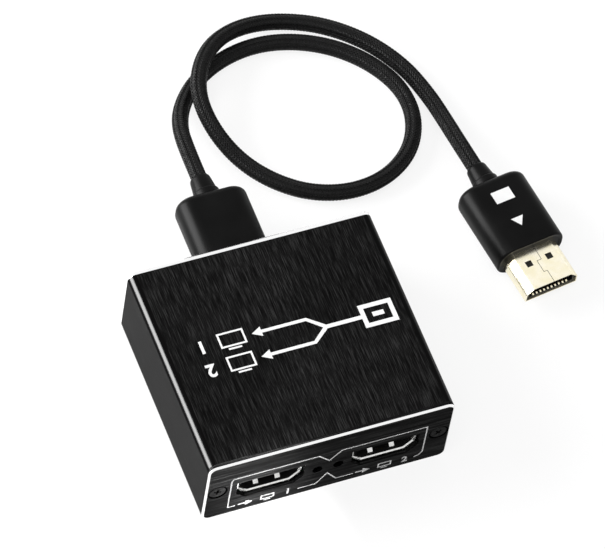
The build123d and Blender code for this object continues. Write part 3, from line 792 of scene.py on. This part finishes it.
def shouldered_bar(name, width, height, flat, shoulder, corner, start, end):
    """A port-shaped bar along +Y: its two lower corners cut off and its long edges a little round."""
    bar = add_shape(
        name, "cube", size=1.0, location=(0, (start + end) / 2, 0), scale=(width, end - start, height)
    )
    bpy.ops.object.mode_set(mode="EDIT")
    for side in (-1, 1):
        foot = Vector((side * flat / 2, 0, -height / 2))
        knee = Vector((side * width / 2, 0, shoulder - height / 2))
        way = (knee - foot).normalized()
        bpy.ops.mesh.select_all(action="SELECT")
        bpy.ops.mesh.bisect(
            plane_co=foot, plane_no=(side * way.z, 0, -side * way.x), clear_outer=True, use_fill=True,
            threshold=1e-7,
        )
    choose(bar, "edges", lambda middle, way: abs(way.y) > 0.9)
    bpy.ops.mesh.bevel(offset=corner, segments=4)
    face_outwards()
    choose(bar, "faces", lambda middle, normal: abs(normal.y) > 0.9)
    bpy.ops.mesh.delete(type="FACE")
    bpy.ops.object.mode_set(mode="OBJECT")
    return bar


def box_piece(name, low, high):
    """A box between two corners in millimetres, for cutting with."""
    middle = [(a + b) / 2 * MM for a, b in zip(low, high)]
    size = [(b - a) * MM for a, b in zip(low, high)]
    return add_shape(name, "cube", size=1.0, location=middle, scale=size)


def plug_skin(name, place):
    """The plug's folded metal shell: two latch windows a side, and the dovetail where its ends meet."""
    skin = shouldered_bar(
        name, width=13.9 * MM, height=4.45 * MM, flat=10.14 * MM, shoulder=1.87 * MM,
        corner=0.3 * MM, start=0.0, end=13.0 * MM,
    )
    give_wall(skin, 0.3 * MM)
    for x in (-2.7, 2.7):
        cut_away(skin, box_piece("window", (x - 0.8, 5.8, -3.0), (x + 0.8, 7.4, 3.0)))
    seam_mm = [
        ((-0.66, 6.6), (-0.54, 14.0)), ((-0.66, 6.5), (0.66, 6.62)), ((0.54, 3.3), (0.66, 6.6)),
        ((-0.36, 3.2), (0.66, 3.32)), ((-0.36, -1.0), (-0.24, 3.3)),
    ]
    for (x0, y0), (x1, y1) in seam_mm:
        cut_away(skin, box_piece("seam", (x0, y0, -3.0), (x1, y1, -1.5)))
    settle(skin, place, angle=40.0)
    return skin


def contact_noses(name, place):
    """The sloped noses of a plug's nineteen contacts, which catch the light just inside its mouth."""
    tip = 0.45
    slope = 0.85
    noses = []
    for count, face, root in ((10, 1.2, 1.4), (9, -0.8, -1.0)):
        for number in range(count):
            x = number - (count - 1) / 2
            nose = box_piece("nose", (x - 0.2, tip, min(face, root)), (x + 0.2, 0.9, max(face, root)))
            bpy.ops.object.mode_set(mode="EDIT")
            choose(
                nose, "edges",
                lambda middle, way: middle.y < 0.5 * MM and abs(middle.z - face * MM) < 0.01 * MM,
            )
            bpy.ops.transform.translate(value=(0, 0, (root - face) * slope * MM))
            bpy.ops.object.mode_set(mode="OBJECT")
            noses.append(nose)
    whole = joined(noses)
    whole.name = name
    settle(whole, place, angle=20.0)
    return whole


def flat_mark(name, points_mm, line_mm=0.0, gaps=()):
    """A film of ink with these corners in the XY plane, or a line round their inside, less any gaps."""
    mark = add_shape(name, "circle", vertices=len(points_mm), radius=1.0, fill_type="NGON")
    for vertex, (x, y) in zip(mark.data.vertices, points_mm):
        vertex.co = (x * MM, y * MM, 0.0)
    bpy.ops.object.mode_set(mode="EDIT")
    face_outwards()
    if line_mm:
        bpy.ops.mesh.inset(thickness=line_mm * MM)
        bpy.ops.mesh.delete(type="FACE")
    for left, right, low, high in gaps:
        choose(
            mark, "faces",
            lambda middle, normal: left * MM < middle.x < right * MM and low * MM < middle.y < high * MM,
        )
        bpy.ops.mesh.delete(type="FACE")
    bpy.ops.mesh.select_all(action="SELECT")
    bpy.ops.mesh.extrude_region_move(TRANSFORM_OT_translate={"value": (0, 0, ink_film)})
    face_outwards()
    bpy.ops.object.mode_set(mode="OBJECT")
    return mark


def numeral(digit, size_mm, x_mm, y_mm, turned=False):
    """A plain printed digit, centred on a point of the XY plane."""
    boldness = 0.03
    bpy.ops.object.select_all(action="DESELECT")
    bpy.ops.object.text_add()
    label = bpy.context.object
    label.data.body = digit
    label.data.size = size_mm * MM
    label.data.align_x = "CENTER"
    label.data.align_y = "CENTER"
    label.data.extrude = ink_film / 2
    label.data.offset = boldness * size_mm * MM
    bpy.ops.object.convert(target="MESH")
    label.location = (x_mm * MM, y_mm * MM, ink_film / 2)
    label.rotation_euler = (0, 0, math.pi if turned else 0.0)
    bpy.ops.object.transform_apply(location=True, rotation=True, scale=True)
    return label


ink_film = 0.02 * MM
front_face = Matrix.Translation((0, -case_half_depth, 0)) @ Matrix.Rotation(math.pi / 2, 4, "X")
top_face = Matrix.Translation((0, 0, case_height))


def front_print():
    """The line that frames both output ports, pinched between them, and each port's number."""
    frame_line = flat_mark(
        "front_print",
        [
            (-24.0, 2.6), (-22.0, 2.6), (-6.7, 2.6), (-2.2, 2.6), (0.15, 6.1), (2.6, 2.6), (6.9, 2.6),
            (21.9, 2.6), (23.2, 3.0), (24.0, 4.4), (24.0, 15.2), (2.8, 15.2), (0.1, 12.1),
            (-2.6, 15.15), (-23.6, 15.15), (-24.0, 14.2),
        ],
        line_mm=0.31, gaps=[(-22.1, -6.6, 2.0, 3.4), (6.8, 22.0, 2.0, 3.4)],
    )
    marks = [frame_line]
    for digit, x in (("1", -14.35), ("2", 14.4)):
        marks.append(numeral(digit, 3.0, x + 5.2, 2.75))
        screen = [(x - 1.5, 2.2), (x + 1.9, 2.2), (x + 1.9, 4.0), (x - 1.5, 4.0)]
        marks.append(flat_mark("screen", screen, line_mm=0.36))
        marks.append(flat_mark("foot", [(x - 0.6, 1.6), (x + 1.0, 1.6), (x + 1.0, 1.9), (x - 0.6, 1.9)]))
        marks.append(flat_mark("dash", [(x - 7.0, 2.6), (x - 5.2, 2.6), (x - 5.2, 3.1), (x - 7.0, 3.1)]))
        marks.append(flat_mark("arrow", [(x - 5.2, 1.85), (x - 3.4, 2.85), (x - 5.2, 3.85)]))
    whole = joined(marks)
    settle(whole, front_face)
    # The front print takes the darker copy of the ink: painted shade.
    dress(whole, "case", front_ink_shaded_copy)


def top_print():
    """A plain diagram of one input that feeds two outputs, read from the back of the case."""
    marks = [
        flat_mark("top_print", [(17.6, -2.6), (25.8, -2.6), (25.8, 3.6), (17.6, 3.6)], line_mm=1.1),
        flat_mark("bar", [(20.3, -0.1), (23.1, -0.1), (23.1, 1.1), (20.3, 1.1)]),
        flat_mark(
            "fork",
            [
                (17.6, 0.0), (17.6, 1.0), (9.05, 1.0), (5.2, 4.1), (-5.8, 4.1), (-5.8, 3.3), (4.9, 3.3),
                (8.14, 0.5), (4.9, -2.3), (-5.8, -2.3), (-5.8, -3.1), (5.2, -3.1), (9.05, 0.0),
            ],
        ),
    ]
    for digit, y in (("1", 3.7), ("2", -2.7)):
        marks.append(flat_mark("arrow", [(-5.8, y - 1.3), (-5.8, y + 1.3), (-8.2, y)]))
        screen = [(-16.2, y - 1.8), (-9.8, y - 1.8), (-9.8, y + 2.2), (-16.2, y + 2.2)]
        marks.append(flat_mark("screen", screen, line_mm=0.45))
        foot = [(-14.6, y - 2.6), (-11.4, y - 2.6), (-11.4, y - 2.15), (-14.6, y - 2.15)]
        marks.append(flat_mark("foot", foot))
        marks.append(numeral(digit, 4.6, -20.4, y, turned=True))
    whole = joined(marks)
    settle(whole, top_face)
    dress(whole, "case", ink)


front_print()
top_print()


def port_shade_sheet(name, place):
    """A black sheet inside an output port, behind its bright lip: painted shade over the inside of the
    metal shell. The spring fingers stand out of it.
    """
    shade_sheet = shouldered_bar(
        name, width=13.96 * MM, height=4.51 * MM, flat=10.16 * MM, shoulder=1.88 * MM,
        corner=0.05 * MM, start=0.15 * MM, end=8.7 * MM,
    )
    give_wall(shade_sheet, 0.03 * MM)
    settle(shade_sheet, place, angle=40.0)
    # The black plastic finish here is painted shade, not a part of the port.
    dress(shade_sheet, "case", port_polymer)


def spring_fingers(name, place):
    """Four bright spring fingers: each has a steep nose just inside the mouth and a long flat back."""
    fingers = []
    for upwards in (False, True):
        for side in (-2.65, 2.65):
            finger = box_piece("finger", (side - 0.6, 0.8, -2.42), (side + 0.6, 6.7, -2.24))
            bpy.ops.object.mode_set(mode="EDIT")
            for y, lift in ((5.8, 0.1), (2.35, 0.62), (1.8, 0.64), (1.0, 0.12)):
                bpy.ops.mesh.select_all(action="SELECT")
                bpy.ops.mesh.bisect(plane_co=(0, y * MM, 0), plane_no=(0, 1, 0), threshold=1e-7)
                choose(finger, "edges", lambda middle, way: abs(middle.y - y * MM) < 0.01 * MM)
                bpy.ops.transform.translate(value=(0, 0, lift * MM))
            bpy.ops.object.mode_set(mode="OBJECT")
            if upwards:
                finger.rotation_euler = (0, math.pi, 0)
                bpy.ops.object.transform_apply(location=True, rotation=True, scale=True)
            fingers.append(finger)
    whole = joined(fingers)
    whole.name = name
    settle(whole, place, angle=50.0)
    dress(whole, "case", nickel)


for number, x in ((1, -port_across), (2, port_across)):
    mouth = Matrix.Translation((x, port_front, port_middle))
    # Each port gets a black sheet of painted shade inside it, and its spring fingers.
    port_shade_sheet("output_port_%d_lining" % number, mouth)
    spring_fingers("output_port_%d_fingers" % number, mouth)


def countersunk_screw(name):
    """A black countersunk screw, its crown rounded over and its cross recess tapered. It looks along -Y."""
    sunk = 0.1 * MM
    shape_mm = [(0.0, 0.0), (0.03, -0.08), (0.12, -0.12), (0.4, -0.12), (1.1, 0.65), (5.9, 0.65)]
    screw = round_piece(name, 40, 1.9 * MM, sunk, shape_mm)
    for turn in (0.0, math.pi / 2):
        foot = 0.95
        blade = box_piece("blade", (-1.25, -0.5, -0.32), (1.25, foot, 0.32))
        bpy.ops.object.mode_set(mode="EDIT")
        choose(blade, "faces", lambda middle, normal: normal.y > 0.9)
        bpy.ops.transform.resize(value=(0.45, 1, 0.5), center_override=(0, foot * MM, 0))
        bpy.ops.object.mode_set(mode="OBJECT")
        blade.rotation_euler = (0, turn, 0)
        bpy.ops.object.transform_apply(location=True, rotation=True, scale=True)
        cut_away(screw, blade)
    return screw


def end_screws(name, node, turned):
    """Two screws of one end, each driven home at its own angle."""
    pair = []
    for x, turn in ((-screw_across, 12.0), (screw_across, 40.0)):
        screw = countersunk_screw("screw")
        place = Matrix.Rotation(math.radians(turn), 4, "Y")
        place = Matrix.Translation((x, -case_half_depth, case_height / 2)) @ place
        if turned:
            place = Matrix.Rotation(math.pi, 4, "Z") @ place
        settle(screw, place, angle=40.0)
        pair.append(screw)
    both = joined(pair)
    both.name = name
    dress(both, "case", screw_steel)
    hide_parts(node)


end_screws("front_screw_pair", "front_screws", turned=False)
end_screws("rear_screw_pair", "rear_screws", turned=True)

far_place = Matrix.Translation(far_end_mm * MM + heading * plug_long)
far_place = far_place @ Matrix.Rotation(far_turn, 4, "Z") @ Matrix.Rotation(math.pi, 4, "Y")
near_place = Matrix.Translation(near_end_mm * MM - Vector((0, plug_long, 0)))

# The two printed marks on the far plug's grip.
square_mm = [(-2.45, 22.9), (2.45, 22.9), (2.45, 26.2), (-2.45, 26.2)]
triangle_mm = [(-1.6, 17.9), (1.6, 17.9), (0.0, 15.4)]
grip_top = Matrix.Translation((0, 0, -grip_tall / 2)) @ Matrix.Rotation(math.pi, 4, "Y")

going_along = list(braids)
for end, place in (("far", far_place), ("input", near_place)):
    grip = plug_grip(end + "_plug_grip", place)
    relief = plug_relief(end + "_plug_relief", place)
    skin = plug_skin(end + "_plug_skin", place)
    noses = contact_noses(end + "_plug_noses", place)
    dress(grip, "input_cable", grip_plastic)
    dress(relief, "input_cable", relief_rubber)
    dress(skin, "input_cable", pale_gold)
    dress(noses, "input_cable", pale_gold)
    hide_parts(end + "_plug_housing")
    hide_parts(end + "_strain_relief")
    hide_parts(end + "_plug_shell")
    if end == "far":
        going_along += [grip, relief, skin, noses]
        going_along += [nodes["far_plug_insulator"], nodes["far_plug_contacts"]]
        for name, corners_mm in (("plug_square", square_mm), ("plug_triangle", triangle_mm)):
            mark = flat_mark(name, corners_mm)
            settle(mark, place @ grip_top)
            dress(mark, "input_cable", ink)
            going_along.append(mark)
